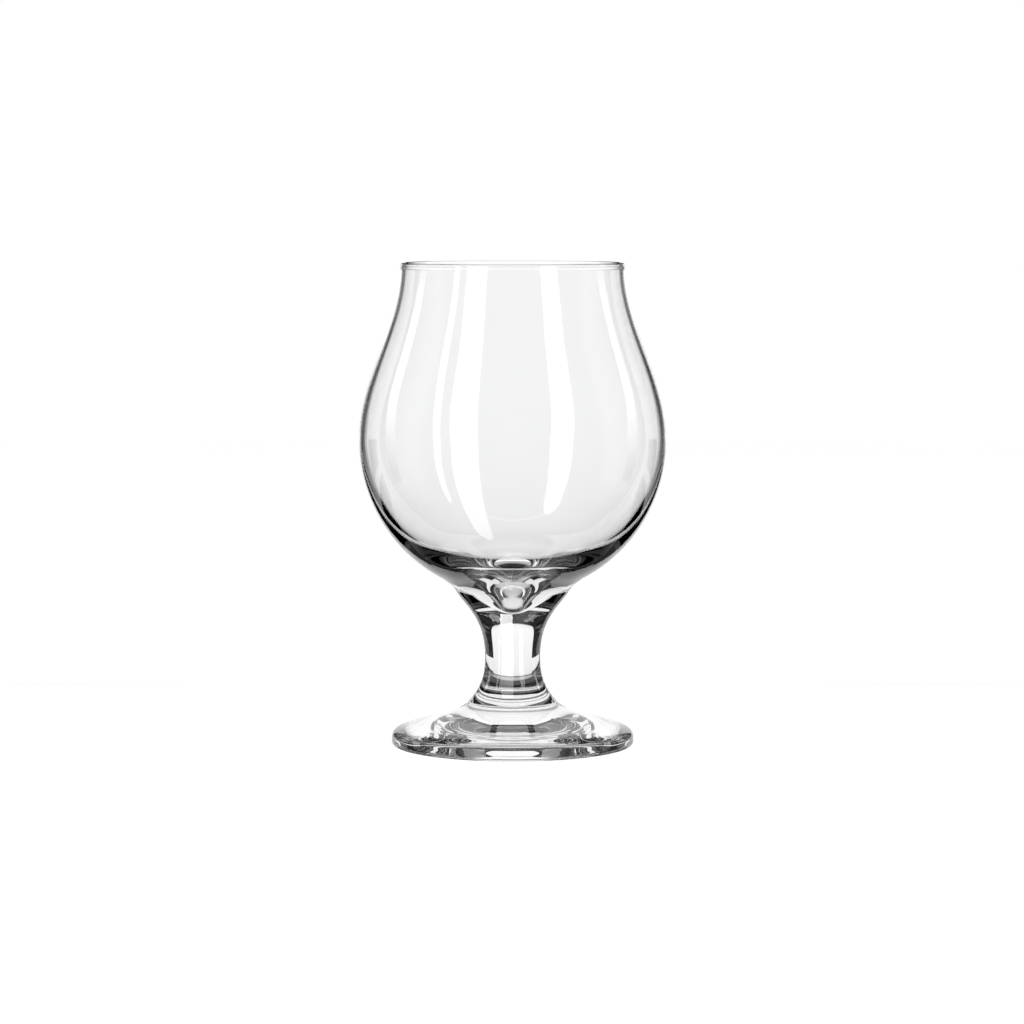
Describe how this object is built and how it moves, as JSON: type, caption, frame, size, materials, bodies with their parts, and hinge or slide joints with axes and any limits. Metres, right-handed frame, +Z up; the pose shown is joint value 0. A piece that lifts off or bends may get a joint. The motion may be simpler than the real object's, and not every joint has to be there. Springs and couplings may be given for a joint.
{
  "type": "stemmed beer glass",
  "caption": "Clear stemmed beer glass with a tulip-shaped bowl, drawn-in neck, heavy bowl floor, short waisted stem and round pressed foot.",
  "frame": {"origin": "middle of the foot's standing ring, on the surface that the glass stands on", "axes": "+Z up along the glass's axis of revolution; +X and +Y are any two level directions at right angles"},
  "size_m": [0.0984, 0.0984, 0.1551],
  "materials": {
    "bowl_glass": "clear soda-lime glass, blown, fire-polished",
    "stem_glass": "clear soda-lime glass, drawn, fire-polished",
    "foot_glass": "clear soda-lime glass, pressed, fire-polished"
  },
  "bodies": {
    "root": {"bowl": "bowl_glass", "stem": "stem_glass", "foot": "foot_glass"}
  },
  "joints": []
}
